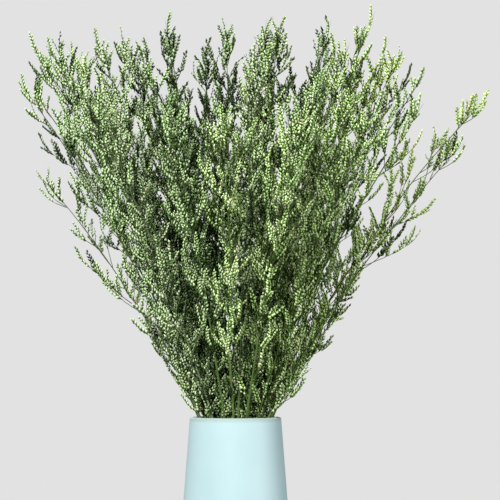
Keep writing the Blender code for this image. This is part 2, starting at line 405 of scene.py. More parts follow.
    def grow_shoot(
        self, stem: Stem, level: int, place: Place, turn: float, taken: Taken, rng: random.Random
    ) -> None:
        """Adds a shoot, by the first of a few tries that keeps clear of every other stem.

        Args:
            stem: The stem that it grows from.
            level: Its number, counted from the mouth.
            place: Where it leaves.
            turn: How far round the stem, before it is tried elsewhere.
            taken: The room already used.
            rng: Draws each try's turn, lean and size.
        """
        root, along = at_length(stem.twigs[0].points, place.length)
        is_long = place.left > self.long_needs and place.above > self.long_from and level % 2 == 0
        for attempt in range(self.shoot_tries):
            effort = attempt / self.shoot_tries
            shrink = 1 - self.most_shrink * effort
            turned = turn + rng.uniform(-1, 1) * (self.shoot_turn + math.pi * effort)
            way = side_way(along, turned, rng.uniform(*self.shoot_lean), self.shoot_rise)
            reach = self.tuft_reach * rng.uniform(*self.tuft_spread) * shrink
            reach *= 1 if is_long else self.short_tuft_share
            length = rng.uniform(*(self.long_shoot if is_long else self.short_shoot)) * shrink
            twig = self.shoot(root, way, length, reach, is_long)
            if taken.gap(twig, stem.name) > self.room:
                taken.add(twig, stem.name)
                stem.twigs.append(twig)
                stem.roots.append(place.length)
                return

    def shoot_places(self, stem: Stem) -> Iterator[Place]:
        """Where shoots leave a stem, from just above the vase's mouth to near its tip."""
        line = stem.twigs[0].points
        mouth, whole = sum(run_lengths(line[: len(self.levels_in_vase)])), sum(run_lengths(line))
        above = self.first_shoot
        while above < whole - mouth - self.last_shoot:
            yield Place(mouth + above, above, whole - mouth - above)
            above += self.shoot_step

    def grow(self) -> list[Stem]:
        """Every stem of the bunch: all main lines first, then the shoots, level by level."""
        rng = random.Random(self.seed)
        taken = Taken()
        stems = []
        tips = self.stem_tips(rng)
        for number, (place, tip) in enumerate(zip(self.mouth_places(tips), tips), start=1):
            twig = self.stem_twig(self.stem_line(place, tip, rng))
            stems.append(Stem(f"stem_{number:02d}", [twig]))
            taken.add(twig, stems[-1].name)
        places = {stem.name: list(self.shoot_places(stem)) for stem in stems}
        turns = {stem.name: rng.uniform(0, FULL_TURN) for stem in stems}
        for level in range(max(len(found) for found in places.values())):
            for stem in stems:
                if level < len(places[stem.name]):
                    turns[stem.name] += GOLDEN_ANGLE
                    place = places[stem.name][level]
                    self.grow_shoot(stem, level, place, turns[stem.name], taken, rng)
        return stems


# Shader maths


@dataclass(frozen=True)
class Nodes:
    """Makes the nodes of one material."""

    tree: bpy.types.NodeTree

    def add(self, kind: str, settings: dict | None = None, **values: object) -> "Socket":
        """Makes a node.

        Args:
            kind: Its type, as Blender names it.
            settings: Its own settings. A ramp's stops go in as a list of place and colour.
            values: The value or link of each socket, as for feed.

        Returns:
            Its first output.
        """
        node = self.tree.nodes.new(kind)
        for name, value in (settings or {}).items():
            if name == "stops":
                self._set_stops(node.color_ramp, value)
            else:
                setattr(node, name, value)
        self.feed(node, **values)
        return Socket(self, next(out for out in node.outputs if out.enabled))

    def feed(self, node: bpy.types.Node, **values: object) -> None:
        """Sets or links a node's sockets, by their names with _ for a space, or in and a number."""
        for name, value in values.items():
            socket = self._input(node, name)
            if isinstance(value, Socket):
                self.tree.links.new(value.socket, socket)
            else:
                socket.default_value = value

    @staticmethod
    def _set_stops(ramp: bpy.types.ColorRamp, stops: list[tuple[float, Colour]]) -> None:
        """Gives a ramp these stops, as place and colour."""
        while len(ramp.elements) < len(stops):
            ramp.elements.new(1.0)
        for element, (place, colour) in zip(ramp.elements, stops):
            element.position = place
            element.color = (*colour, 1.0)

    @staticmethod
    def _input(node: bpy.types.Node, name: str) -> bpy.types.NodeSocket:
        """The socket of this name that the node's settings leave in use, or of this number."""
        if name.startswith("in"):
            return node.inputs[int(name[2:])]
        wanted = name.replace("_", " ")
        return next(one for one in node.inputs if one.name == wanted and one.enabled)

    def mix(self, share: "Socket | float", low: "Socket | Colour", high: "Socket | Colour") -> "Socket":
        """A colour this share of the way from low to high."""
        ends = [end if isinstance(end, Socket) else (*end, 1.0) for end in (low, high)]
        settings = {"data_type": "RGBA", "clamp_factor": True}
        return self.add("ShaderNodeMix", settings, Factor=share, A=ends[0], B=ends[1])

    def noise(self, scale: float, detail: float) -> "Socket":
        """A noise in the object's own space."""
        where = self.add("ShaderNodeTexCoord").other("Object")
        return self.add("ShaderNodeTexNoise", Vector=where, Scale=scale, Detail=detail)


@dataclass(frozen=True)
class Socket:
    """An output that takes part in Python expressions, each of which adds a Math node."""

    nodes: Nodes
    socket: bpy.types.NodeSocket

    def other(self, name: str) -> "Socket":
        """Another output of the same node."""
        return Socket(self.nodes, self.socket.node.outputs[name])

    def _math(self, operation: str, one: "Socket | float", other: "Socket | float") -> "Socket":
        """A Math node on two values."""
        return self.nodes.add("ShaderNodeMath", {"operation": operation}, in0=one, in1=other)

    def __add__(self, other: "Socket | float") -> "Socket":
        """The sum."""
        return self._math("ADD", self, other)

    __radd__ = __add__

    def __mul__(self, other: "Socket | float") -> "Socket":
        """The product."""
        return self._math("MULTIPLY", self, other)

    __rmul__ = __mul__

    def __sub__(self, other: "Socket | float") -> "Socket":
        """The difference."""
        return self._math("SUBTRACT", self, other)

    def __rsub__(self, other: float) -> "Socket":
        """The difference, taken from a number."""
        return self._math("SUBTRACT", other, self)

    def __gt__(self, other: "Socket | float") -> "Socket":
        """1 where it is more than the other, and 0 elsewhere."""
        return self._math("GREATER_THAN", self, other)

    def ramp(self, low: float, high: float) -> "Socket":
        """0 up to low, 1 from high on, and smooth in between."""
        settings = {"interpolation_type": "SMOOTHSTEP"}
        values = {"Value": self, "From_Min": low, "From_Max": high}
        return self.nodes.add("ShaderNodeMapRange", settings, **values)


def new_material(name: str) -> tuple[bpy.types.Material, Nodes, bpy.types.Node]:
    """A new material, what makes its nodes, and its Principled shader."""
    made = bpy.data.materials.new(name)
    made.use_nodes = True
    return made, Nodes(made.node_tree), made.node_tree.nodes["Principled BSDF"]


@dataclass(frozen=True)
class PlantFinish:
    """The dry plant: green stems, and florets that pale from near-black feet, partly painted shade, to
    papery tips; low tints darken with painted shade.
    """

    name: str
    stalk: Colour
    twig: Colour
    bract_and_shade: Colour
    body: Colour
    rim: Colour
    tip: Colour
    dry: Colour
    foot: Colour = (0.42, 0.36, 0.20)
    stem_places: tuple[float, ...] = (0.0, 0.06, 0.18, 0.28)
    floret_places: tuple[float, ...] = (0.45, 0.60, 0.72, 0.86)
    shaded_tints: Span = (0.0, 0.55)
    shaded_share: float = 0.92
    faded_tints: Span = (0.66, 0.92)
    faded_share: float = 0.24
    dried_tints: Span = (0.93, 0.97)
    dried_share: float = 0.7
    stalk_roughness: float = 0.62
    floret_roughness: float = 0.84
    shine: float = 0.05

    def make(self) -> bpy.types.Material:
        """The material, which reads the colour chart alone."""
        made, nodes, shader = new_material(self.name)
        chart = nodes.add("ShaderNodeUVMap", {"uv_map": CHART})
        tint = nodes.add("ShaderNodeSeparateXYZ", Vector=chart)
        place = tint.other("Y")
        stem_stops = list(zip(self.stem_places, (self.foot, self.stalk, self.stalk, self.twig)))
        # Each floret is near-black at its foot: its darker bract, with painted shade where the florets
        # crowd on the ear's axis
        floret_stops = list(zip(self.floret_places, (self.bract_and_shade, self.body, self.rim, self.tip)))
        stem = nodes.add("ShaderNodeValToRGB", {"stops": stem_stops}, Fac=place)
        floret = nodes.add("ShaderNodeValToRGB", {"stops": floret_stops}, Fac=place)
        is_floret = place > mix_numbers(STEM_BAND[1], FLORET_BAND[0], 0.5)
        plain = nodes.mix(is_floret, stem, floret)
        # Painted shade: low tints, given to ears deep in the bunch and on shaded branchlets, mix
        # towards the near-black colour of the florets' feet
        shade = self.shaded_share * (1 - tint.ramp(*self.shaded_tints))
        shaded = nodes.mix(shade, plain, self.bract_and_shade)
        faded = nodes.mix(self.faded_share * tint.ramp(*self.faded_tints), shaded, self.tip)
        dried = nodes.mix(self.dried_share * tint.ramp(*self.dried_tints), faded, self.dry)
        rough = self.stalk_roughness + (self.floret_roughness - self.stalk_roughness) * is_floret
        nodes.feed(shader, Base_Color=dried, Roughness=rough, Specular_IOR_Level=self.shine)
        return made


PLANT_FINISHES = (
    PlantFinish(
        "statice_grey_green",
        stalk=(0.110, 0.170, 0.062),
        twig=(0.060, 0.085, 0.038),
        bract_and_shade=(0.008, 0.019, 0.004),
        body=(0.058, 0.142, 0.021),
        rim=(0.245, 0.415, 0.130),
        tip=(0.66, 0.775, 0.48),
        dry=(0.30, 0.24, 0.13),
    ),
    PlantFinish(
        "statice_deep_green",
        stalk=(0.095, 0.175, 0.042),
        twig=(0.048, 0.080, 0.024),
        bract_and_shade=(0.006, 0.018, 0.002),
        body=(0.046, 0.142, 0.014),
        rim=(0.215, 0.405, 0.098),
        tip=(0.65, 0.785, 0.46),
        dry=(0.28, 0.24, 0.11),
    ),
    PlantFinish(
        "statice_mid_green",
        stalk=(0.130, 0.215, 0.052),
        twig=(0.060, 0.095, 0.026),
        bract_and_shade=(0.008, 0.021, 0.002),
        body=(0.068, 0.180, 0.016),
        rim=(0.285, 0.52, 0.104),
        tip=(0.77, 0.90, 0.50),
        dry=(0.33, 0.27, 0.12),
    ),
    PlantFinish(
        "statice_yellow_green",
        stalk=(0.150, 0.225, 0.058),
        twig=(0.070, 0.105, 0.028),
        bract_and_shade=(0.010, 0.025, 0.002),
        body=(0.090, 0.208, 0.015),
        rim=(0.330, 0.555, 0.092),
        tip=(0.79, 0.90, 0.46),
        dry=(0.36, 0.30, 0.12),
    ),
)


@dataclass(frozen=True)
class GlazeFinish:
    """A satin aqua glaze, a little uneven, thinner and speckled where it runs over the lip."""

    lip_from: float
    lip_height: float
    body: Colour = (0.422, 0.590, 0.621)
    cloud: Colour = (0.447, 0.611, 0.634)
    lip: Colour = (0.334, 0.416, 0.379)
    speckle: Colour = (0.58, 0.67, 0.67)
    cloud_noise: Span = (26.0, 3.0)
    cloud_range: Span = (0.35, 0.70)
    grain_noise: Span = (900.0, 2.0)
    fleck_noise: Span = (1500.0, 1.0)
    fleck_range: Span = (0.60, 0.70)
    fleck_shares: Span = (0.08, 0.45)
    waver: float = 0.0022
    thinned: float = 0.85
    roughness: float = 0.52
    cloud_roughness: float = 0.10
    lip_roughness: float = 0.18
    grain_relief: float = 0.6
    cloud_relief: float = 1.6
    bump: Span = (0.10, 0.0008)
    shine: float = 0.4

    def make(self) -> bpy.types.Material:
        """The material, which reads Object coordinates."""
        made, nodes, shader = new_material("aqua_glaze")
        where = nodes.add("ShaderNodeTexCoord").other("Object")
        height = nodes.add("ShaderNodeSeparateXYZ", Vector=where).other("Z")
        clouds = nodes.noise(*self.cloud_noise)
        grain = nodes.noise(*self.grain_noise)
        flecks = nodes.noise(*self.fleck_noise)
        edge = height + self.waver * (clouds - 0.5)
        on_lip = edge.ramp(self.lip_from, self.lip_height)
        base = nodes.mix(clouds.ramp(*self.cloud_range), self.body, self.cloud)
        thin = nodes.mix(self.thinned * on_lip, base, self.lip)
        usual, more = self.fleck_shares
        fleck_share = flecks.ramp(*self.fleck_range) * (usual + more * on_lip)
        colour = nodes.mix(fleck_share, thin, self.speckle)
        rough = self.roughness + self.cloud_roughness * (clouds - 0.5) + self.lip_roughness * on_lip
        relief = grain * self.grain_relief + clouds * self.cloud_relief
        strength, depth = self.bump
        bump = nodes.add("ShaderNodeBump", Strength=strength, Distance=depth, Height=relief)
        nodes.feed(
            shader, Base_Color=colour, Roughness=rough, Normal=bump, Specular_IOR_Level=self.shine
        )
        return made


@dataclass(frozen=True)
class BisqueFinish:
    """The bare clay of the foot, where the glaze was wiped off."""

    pale: Colour = (0.62, 0.58, 0.52)
    dark: Colour = (0.48, 0.43, 0.37)
    noise: Span = (420.0, 4.0)
    pale_range: Span = (0.38, 0.66)
    roughness: Span = (0.78, 0.14)
    bump: Span = (0.25, 0.0004)

    def make(self) -> bpy.types.Material:
        """The material, which reads Object coordinates."""
        made, nodes, shader = new_material("bare_clay")
        grain = nodes.noise(*self.noise)
        colour = nodes.mix(grain.ramp(*self.pale_range), self.dark, self.pale)
        rough = self.roughness[0] + self.roughness[1] * grain
        strength, depth = self.bump
        bump = nodes.add("ShaderNodeBump", Strength=strength, Distance=depth, Height=grain)
        nodes.feed(shader, Base_Color=colour, Roughness=rough, Normal=bump)
        return made


# Lines and tubes


class Curve:
    """A smooth line through points, measured along the straight runs between them."""

    def __init__(self, points: list[Vector]) -> None:
        """Works out each run's length and the line's velocity at each point.

        Args:
            points: What the line goes through, from its root.
        """
        self.points = points
        self.runs = run_lengths(points)
        slopes = [(end - start) / run for start, end, run in zip(points, points[1:], self.runs)]
        self.speeds = [slopes[0]]
        for k in range(1, len(slopes)):
            before, after = self.runs[k - 1], self.runs[k]
            self.speeds.append((slopes[k - 1] * after + slopes[k] * before) / (before + after))
        self.speeds.append(slopes[-1])
        self.length = sum(self.runs)

    def at(self, length: float) -> Vector:
        """The point this far along."""
        last = len(self.runs) - 1
        for k, run in enumerate(self.runs):
            if length <= run or k == last:
                break
            length -= run
        t = min(max(length / run, 0.0), 1.0)
        leave = self.speeds[k] * run * t * (1 - t) ** 2
        arrive = self.speeds[k + 1] * run * t * t * (t - 1)
        return self.points[k].lerp(self.points[k + 1], t * t * (3 - 2 * t)) + leave + arrive

    def way(self, length: float) -> Vector:
        """The direction this far along."""
        step = self.length * 0.01
        low, high = max(length - step, 0.0), min(length + step, self.length)
        return (self.at(high) - self.at(low)).normalized()


def side_place(number: int, sides: int) -> float:
    """How far across its strip of the chart a corner lies, so that no face there has no width."""
    return float(number % 2) if sides % 2 == 0 else number / (sides - 1)


@dataclass
class Shape:
    """A mesh under construction, whose points know their place on the colour chart."""

    bm: bmesh.types.BMesh = field(default_factory=bmesh.new)

    def __post_init__(self) -> None:
        """Adds the layers that hold each point's place."""
        layers = self.bm.verts.layers.float
        self.tint, self.across, self.place = map(layers.new, ("tint", "across", "place"))

    def put(self, vert: bmesh.types.BMVert, tint: float, across: float, place: float) -> None:
        """Gives a point its place on the chart."""
        vert[self.tint], vert[self.across], vert[self.place] = tint, across, place

    def finish(self, mesh: bpy.types.Mesh) -> None:
        """Lays the chart, turns the faces outwards and writes the mesh.

        Args:
            mesh: What takes the shape, in place of all that it held.
        """
        bmesh.ops.recalc_face_normals(self.bm, faces=self.bm.faces)
        chart = self.bm.loops.layers.uv.new(CHART)
        for face in self.bm.faces:
            face.smooth = True
            for loop in face.loops:
                vert = loop.vert
                u = vert[self.tint] + TINT_WIDTH * vert[self.across]
                loop[chart].uv = (u, vert[self.place])
        layers = self.bm.verts.layers.float
        for layer in ("tint", "across", "place"):
            layers.remove(layers[layer])
        self.bm.to_mesh(mesh)
        self.bm.free()

    def cap(self, face: bmesh.types.BMFace, tip: Vector, tint: float, place: float) -> None:
        """Closes a tube's end in a point."""
        (point,) = bmesh.ops.poke(self.bm, faces=[face])["verts"]
        point.co = tip
        self.put(point, tint, 0.5, place)

    def tube(
        self, line: list[Vector], radii: list[float], places: list[float], sides: int, tint: float
    ) -> None:
        """A tapered tube, its rings square to its line, with both ends closed in a point.

        Args:
            line: Its points. The first and last are its ends.
            radii: Its radius at each point between the two.
            places: Its place up the chart at each point.
            sides: How many sides it has.
            tint: Its place across the chart.
        """
        spaces = ring_spaces(line, radii)
        made = bmesh.ops.create_circle(
            self.bm, cap_ends=True, segments=sides, radius=1.0, matrix=spaces[0]
        )
        ring = made["verts"]
        for number, vert in enumerate(ring):
            self.put(vert, tint, side_place(number, sides), places[1])
        edges = list({edge for vert in ring for edge in vert.link_edges})
        first = ring[0].link_faces[0]
        for before, space, place in zip(spaces, spaces[1:], places[2:]):
            grown = bmesh.ops.extrude_edge_only(self.bm, edges=edges)["geom"]
            ring = [part for part in grown if isinstance(part, bmesh.types.BMVert)]
            lines = [part for part in grown if isinstance(part, bmesh.types.BMEdge)]
            edges = [edge for edge in lines if set(ring).issuperset(edge.verts)]
            bmesh.ops.transform(self.bm, matrix=space @ before.inverted(), verts=ring)
            for vert in ring:
                vert[self.place] = place
        (last,) = bmesh.ops.contextual_create(self.bm, geom=edges)["faces"]
        self.cap(first, line[0], tint, places[0])
        self.cap(last, line[-1], tint, places[-1])


def ring_spaces(line: list[Vector], radii: list[float]) -> list[Matrix]:
    """The space of each ring of a tube.

    Args:
        line: The tube's points, of which the first and last have no ring.
        radii: The radius at each point between them.

    Returns:
        Matrices that take a circle of radius 1 to each ring, turning as little as they can.
    """
    across = (line[1] - line[0]).orthogonal().normalized()
    spaces = []
    for k, radius in enumerate(radii, start=1):
        along = (line[k + 1] - line[k - 1]).normalized()
        across = (across - along * across.dot(along)).normalized()
        turn = Matrix((across, along.cross(across), along)).transposed().to_4x4()
        spaces.append(Matrix.Translation(line[k]) @ turn @ Matrix.Scale(radius, 4))
    return spaces


# Ears of florets


class EarKind(Enum):
    """The spikes of florets that a branchlet carries."""

    FULL = "full"
    SHORT = "short"
    SPARSE = "sparse"
    BUD = "bud"


@dataclass(frozen=True)
class EarShape:
    """The sizes of one kind of ear."""

    length: float
    florets: int
    first: float
    floret_length: float
    floret_radius: float
    lean: float
    bend: float


EAR_SHAPES = {
    EarKind.FULL: EarShape(0.0180, 12, 0.05, 0.0049, 0.00124, math.radians(34), math.radians(32)),
    EarKind.SHORT: EarShape(0.0115, 7, 0.10, 0.0048, 0.00120, math.radians(37), math.radians(24)),
    EarKind.SPARSE: EarShape(0.0165, 5, 0.24, 0.0034, 0.00088, math.radians(28), math.radians(38)),
    EarKind.BUD: EarShape(0.0072, 3, 0.20, 0.0034, 0.00084, math.radians(26), math.radians(12)),
}


@dataclass
class Ears:
    """The stock of ears: each kind in a few forms and in tints from painted shade to pale, made once
    and copied into place.
    """

    rng: random.Random
    forms: int = 3
    tints: int = 6
    axis_marks: tuple[float, ...] = (0.0, 0.04, 0.5, 0.94, 1.0)
    axis_radii: tuple[float, ...] = (0.00034, 0.00034 * 0.8, 0.00034 * 0.5)
    axis_place: float = 0.90
    last_floret: float = 0.97
    row_turn: float = math.radians(52)
    turn_spread: Span = (0.7, 1.25)
    lean_spread: Span = (0.75, 1.25)
    last_lean: float = 0.1
    size_spread: Span = (0.84, 1.12)
    taper: float = 0.18
    waist: float = 0.48
    waist_place: float = 0.60
    widest_tint: float = 0.96
    # The ears' tints: the low ones are painted shade, and each ear's tint follows the painted light of
    # its place, swayed at random
    ear_tints: Span = (0.04, 0.78)
    tint_spread: float = 0.11
    tint_sway: float = 1.0
    stock: dict[tuple[EarKind, int, int], bpy.types.Mesh] = field(default_factory=dict)

    def build(self) -> None:
        """Makes every ear of the stock."""
        for kind, form, tint in itertools.product(EarKind, range(self.forms), range(self.tints)):
            mesh = bpy.data.meshes.new(f"ear_{kind.value}_{form}_{tint}")
            self.make_ear(EAR_SHAPES[kind], tint, mesh)
            self.stock[kind, form, tint] = mesh

    def drop(self) -> None:
        """Removes the stock once the sprays are made."""
        for mesh in self.stock.values():
            bpy.data.meshes.remove(mesh)
        self.stock.clear()

    def pick(self, kind: EarKind, light: float, rng: random.Random) -> bpy.types.Mesh:
        """An ear of this kind, of any form, paler the more painted light its place has, its darker
        tints being painted shade.
        """
        tint = round(light * (self.tints - 1) + rng.gauss(0, self.tint_sway))
        return self.stock[kind, rng.randrange(self.forms), min(max(tint, 0), self.tints - 1)]

    def make_ear(self, shape: EarShape, tint: int, mesh: bpy.types.Mesh) -> None:
        """One ear, along +Z from the origin, bending to +Y, which its two rows of florets face.

        Args:
            shape: The sizes of its kind.
            tint: Which of the stock's tints it has.
            mesh: What takes it.
        """
        part = Shape()
        middle = mix_numbers(*self.ear_tints, tint / (self.tints - 1))
        line = [self.space_at(shape, share, 0.0, 0.0).translation for share in self.axis_marks]
        spots = [self.axis_place + (1 - self.axis_place) * share for share in self.axis_marks]
        places = [mix_numbers(*STEM_BAND, spot) for spot in spots]
        part.tube(line, list(self.axis_radii), places, 3, middle)
        for number in range(shape.florets):
            share = mix_numbers(shape.first, self.last_floret, number / (shape.florets - 1))
            side = 1 if number % 2 else -1
            turn = side * self.row_turn * self.rng.uniform(*self.turn_spread)
            is_last = number == shape.florets - 1
            lean = self.last_lean if is_last else shape.lean * self.rng.uniform(*self.lean_spread)
            size = self.rng.uniform(*self.size_spread) * (1.0 - self.taper * share)
            shade = min(max(middle + self.rng.gauss(0, self.tint_spread), 0.0), self.widest_tint)
            self.add_floret(part, shape, self.space_at(shape, share, turn, lean), size, shade)
        part.finish(mesh)

    @staticmethod
    def space_at(shape: EarShape, share: float, turn: float, lean: float) -> Matrix:
        """The space of a floret.

        Args:
            shape: The sizes of its ear's kind.
            share: How far along the ear's arc it is.
            turn: How far round the ear's axis it stands from +Y.
            lean: How far it leans from the axis.

        Returns:
            A matrix that takes the origin to the ear's axis and +Z along the floret.
        """
        radius = shape.length / shape.bend
        arc = shape.bend * share
        point = Vector((0, radius * (1 - math.cos(arc)), radius * math.sin(arc)))
        along = Vector((0, math.sin(arc), math.cos(arc)))
        side = Vector((0, 1, 0)) - along * along.y
        side.normalize()
        side.rotate(Matrix.Rotation(turn, 3, along))
        way = along * math.cos(lean) + side * math.sin(lean)
        return Matrix.Translation(point) @ way.to_track_quat("Z", "Y").to_matrix().to_4x4()

    def add_floret(
        self, part: Shape, shape: EarShape, space: Matrix, size: float, shade: float
    ) -> None:
        """A floret: a slender bud, narrow at its foot and widest near its papery tip.

        Args:
            part: The ear that it is added to.
            shape: The sizes of that ear's kind.
            space: Its own space.
            size: Its size for its kind.
            shade: Its place across the chart.
        """
        length = shape.floret_length * size
        waist = self.waist * length
        made = bmesh.ops.create_cone(
            part.bm,
            cap_ends=True,
            segments=4,
            radius1=shape.floret_radius * size,
            radius2=0.0,
            depth=length - waist,
            matrix=space @ Matrix.Translation((0, 0, (length + waist) / 2)),
        )
        verts, point = made["verts"], space.translation
        top = max(verts, key=lambda vert: (vert.co - point).dot(space.col[2].xyz))
        ring = [vert for vert in verts if vert is not top]
        for number, vert in enumerate(ring):
            place = mix_numbers(*FLORET_BAND, self.waist_place)
            part.put(vert, shade, side_place(number, 4), place)
        part.put(top, shade, 0.5, FLORET_BAND[1])
        (base,) = {face for vert in ring for face in vert.link_faces if top not in face.verts}
        part.cap(base, point, shade, FLORET_BAND[0])


# Sprays


@dataclass
class Spray:
    """A cut stem with all that grows on it."""

    stem: Stem
    ears: Ears
    rng: random.Random
    finish: bpy.types.Material
    scratch: bpy.types.Mesh
    mouth_height: float
    room_low: Vector
    room_high: Vector
    bm: bmesh.types.BMesh = field(default_factory=bmesh.new)
    mouth: float = 0.0
    openness: float = 0.0
    bare: float = 0.0
    branch_light: float = 1.0
    runs_in_vase: int = 3
    stem_sides: int = 6
    stem_step: float = 0.011
    step_in_vase: float = 0.026
    foot_bevel: float = 0.001
    foot_places: Span = (0.03, 0.07)
    stem_radii: tuple[float, ...] = (0.00130, 0.00112, 0.00078, 0.00042, 0.00016)
    low_height: float = 0.070
    tube_end: float = 0.001
    tube_tints: Span = (0.35, 0.80)
    girth: Span = (0.62, 1.12)
    bare_girth: Span = (0.70, 1.10)
    bare_place: Span = (0.0105, -0.015)
    bare_length: Span = (0.030, 0.085)
    open_leans: Span = (math.radians(27), math.radians(37))
    open_heights: Span = (0.07, 0.15)
    open_gap: float = 2.5
    open_spacing: float = 1.45
    open_size: float = 1.12
    open_stalk: float = 0.24
    tip_spacings: tuple[float, ...] = (0.75, 0.75, 1.7)
    end_spike: float = 0.036
    twig_radii: Span = (0.00046, 0.00020)
    twig_sides: int = 4
    twig_step: float = 0.007
    twig_place: float = 0.6
    first_ring: float = 0.4
    ear_cover: float = 0.8
    least_stalk: float = 0.3
    # The ears' painted light: painted shade deep in the bunch, full light outside, on top and low near
    # the rim
    fan_depth: float = 0.040
    shade_leans: Span = (math.radians(7), math.radians(21))
    shade_heights: Span = (0.26, 0.42)
    rim_heights: Span = (0.030, 0.130)
    # Share of branchlets in painted shade, and the painted light drawn for shaded and for lit ones
    shaded_branches: float = 0.39
    shaded_branch_light: Span = (0.0, 0.40)
    lit_branch_light: Span = (0.64, 1.0)
    end_weights: tuple[float, ...] = (0.66, 0.12, 0.16, 0.06)
    side_weights: tuple[float, ...] = (0.47, 0.36, 0.06, 0.11)
    ear_start: Span = (0.004, 0.008)
    ear_step: Span = (0.0033, 0.0050)
    ear_turn: float = 0.4
    ear_lean: Span = (math.radians(24), math.radians(54))
    ear_rise: float = 0.55
    ear_loose: float = 0.45
    ear_spread: Span = (0.86, 1.12)
    last_ear_size: float = 0.82
    last_ear_share: float = 0.92
    last_ear_turn: float = 7.0
    fine_start: Span = (0.0, 0.004)
    fine_turn: float = 0.5
    fine_lean: Span = (math.radians(22), math.radians(52))
    fine_step: Span = (0.0050, 0.0130)
    fine_length: Span = (0.018, 0.034)
    fine_bend: float = 0.45
    fine_rise: float = 0.25
    fine_lift: Span = (0.10, 0.45)
    long_length: Span = (0.040, 0.062)
    long_from: float = 0.09
    long_needs: float = 0.07
    long_share: float = 0.34
    rim_reach: Span = (0.0, 0.05)
    rim_lengths: Span = (0.55, 1.0)
    crowded_from: Span = (0.03, 0.22)
    crowded_shares: Span = (0.58, 0.94)
    low_ears: float = 0.030
    lip_room: float = 0.029
    lip_slope: float = -1.5
    ears_from: Span = (-0.010, 0.003)

    def build(self) -> bpy.types.Object:
        """Makes the whole spray as one piece.

        Returns:
            Its object, which rides, replaces the stem's node and wears its finish.
        """
        main = Curve(self.stem.twigs[0].points)
        self.read_place(main)
        self.add_stem(main)
        for root, twig in zip(self.stem.roots, self.stem.twigs[1:]):
            self.add_branchlet(self.from_stem(main, root, twig.points))
        self.add_fine_branchlets(main)
        # The stem's own end ears take the full painted light of their place
        self.branch_light = 1.0
        spacing = self.rng.choice(self.tip_spacings)
        self.add_ears(main, main.length - self.end_spike, spacing)
        mesh = bpy.data.meshes.new(self.stem.name.replace("stem", "spray"))
        self.bm.to_mesh(mesh)
        self.bm.free()
        mesh.materials.append(self.finish)
        piece = add_object(mesh.name, mesh)
        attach(piece, BODY)
        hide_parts(self.stem.name)
        return piece

    def read_place(self, main: Curve) -> None:
        """Works out how open the spray grows, and how much of its stem stays bare low in front."""
        self.mouth = sum(main.runs[: self.runs_in_vase])
        tip, mouth = main.points[-1], main.at(self.mouth)
        lean = abs(math.atan2(tip.x, tip.z - self.mouth_height))
        self.openness = placed(lean, self.open_leans)
        half_width, depth = self.bare_place
        if abs(mouth.x) < half_width and mouth.y < depth:
            self.bare = self.rng.uniform(*self.bare_length)

    def add_stem(self, main: Curve) -> None:
        """The stem itself, a slim tube that tapers from its cut end to its tip."""
        neck = main.length - self.end_spike
        spots = list(np.arange(self.step_in_vase, self.mouth, self.step_in_vase))
        spots += list(np.arange(self.mouth, main.length - self.stem_step, self.stem_step))
        low = min(self.mouth + self.low_height, neck - self.foot_bevel)
        marks = (0.0, self.mouth, low, neck, main.length)
        girth = self.rng.uniform(*(self.bare_girth if self.bare else self.girth))
        radii = [girth * placed(spot, marks, self.stem_radii) for spot in [self.foot_bevel, *spots]]
        line = [main.at(spot) for spot in [0.0, self.foot_bevel, *spots, main.length]]
        cut, green = self.foot_places
        places = [STEM_BAND[0], cut]
        places += [mix_numbers(green, STEM_BAND[1], spot / main.length) for spot in spots]
        self.add_tube(line, radii, places + [STEM_BAND[1]], self.stem_sides)

    def add_tube(self, line: list[Vector], radii: list[float], places: list[float], sides: int) -> None:
        """Adds a closed tube to the spray."""
        part = Shape()
        part.tube(line, radii, places, sides, self.rng.uniform(*self.tube_tints))
        part.finish(self.scratch)
        self.bm.from_mesh(self.scratch)

    @staticmethod
    def from_stem(main: Curve, root: float, points: list[Vector]) -> list[Vector]:
        """A shoot's points, moved at its root on to the smooth stem, and less towards its tip."""
        shift = main.at(root) - points[0]
        last = len(points) - 1
        return [point + shift * (1 - k / last) for k, point in enumerate(points)]

    def add_branchlet(self, points: list[Vector]) -> None:
        """A twig with an ear at its end and others beside it.

        Args:
            points: Its course, from inside the stem to the tip of its last ear.
        """
        self.draw_branch_light()
        curve = Curve(points)
        bare_end = EAR_SHAPES[EarKind.FULL].length * self.ear_cover
        stalk = max(curve.length - bare_end, curve.length * self.least_stalk)
        count = max(round(stalk / self.twig_step), 2)
        spots = [stalk * (step + self.first_ring) / count for step in range(count)]
        radii = [mix_numbers(*self.twig_radii, spot / curve.length) for spot in spots]
        line = [curve.at(spot) for spot in [0.0, *spots, stalk + self.tube_end]]
        shares = [mix_numbers(self.twig_place, 1.0, min(k / count, 1)) for k in range(count + 2)]
        places = [mix_numbers(*STEM_BAND, share) for share in shares]
        self.add_tube(line, radii, places, self.twig_sides)
        start = self.rng.uniform(*self.ear_start) + self.open_stalk * self.openness * curve.length
        self.add_ears(curve, start, 1.0)

    def draw_branch_light(self) -> None:
        """Draws at random the painted light of the next ears: most lit, some in painted shade, and
        fewer shaded on open sprays.
        """
        is_shaded = self.rng.random() < self.shaded_branches * (1 - self.openness / 2)
        self.branch_light = self.rng.uniform(*(self.shaded_branch_light if is_shaded else self.lit_branch_light))

    def draw_kind(self, weights: tuple[float, ...]) -> EarKind:
        """Draws a kind of ear."""
        return self.rng.choices(list(EarKind), weights)[0]

    def add_ears(self, curve: Curve, start: float, spacing: float) -> None:
        """Ears along a line, from start to its tip, and one that ends it.

        Args:
            curve: The twig or stem that carries them.
            start: How far along the first one is.
            spacing: How far apart they are, as a share of the usual step.
        """
        kind = self.draw_kind(self.end_weights)
        last = curve.length - EAR_SHAPES[kind].length * self.last_ear_share
        facing = self.rng.uniform(0, self.last_ear_turn)
        self.add_ear(kind, curve.at(last), curve.way(last), facing, 1.0)
        self.add_side_ears(curve, start, last - self.tube_end, spacing)

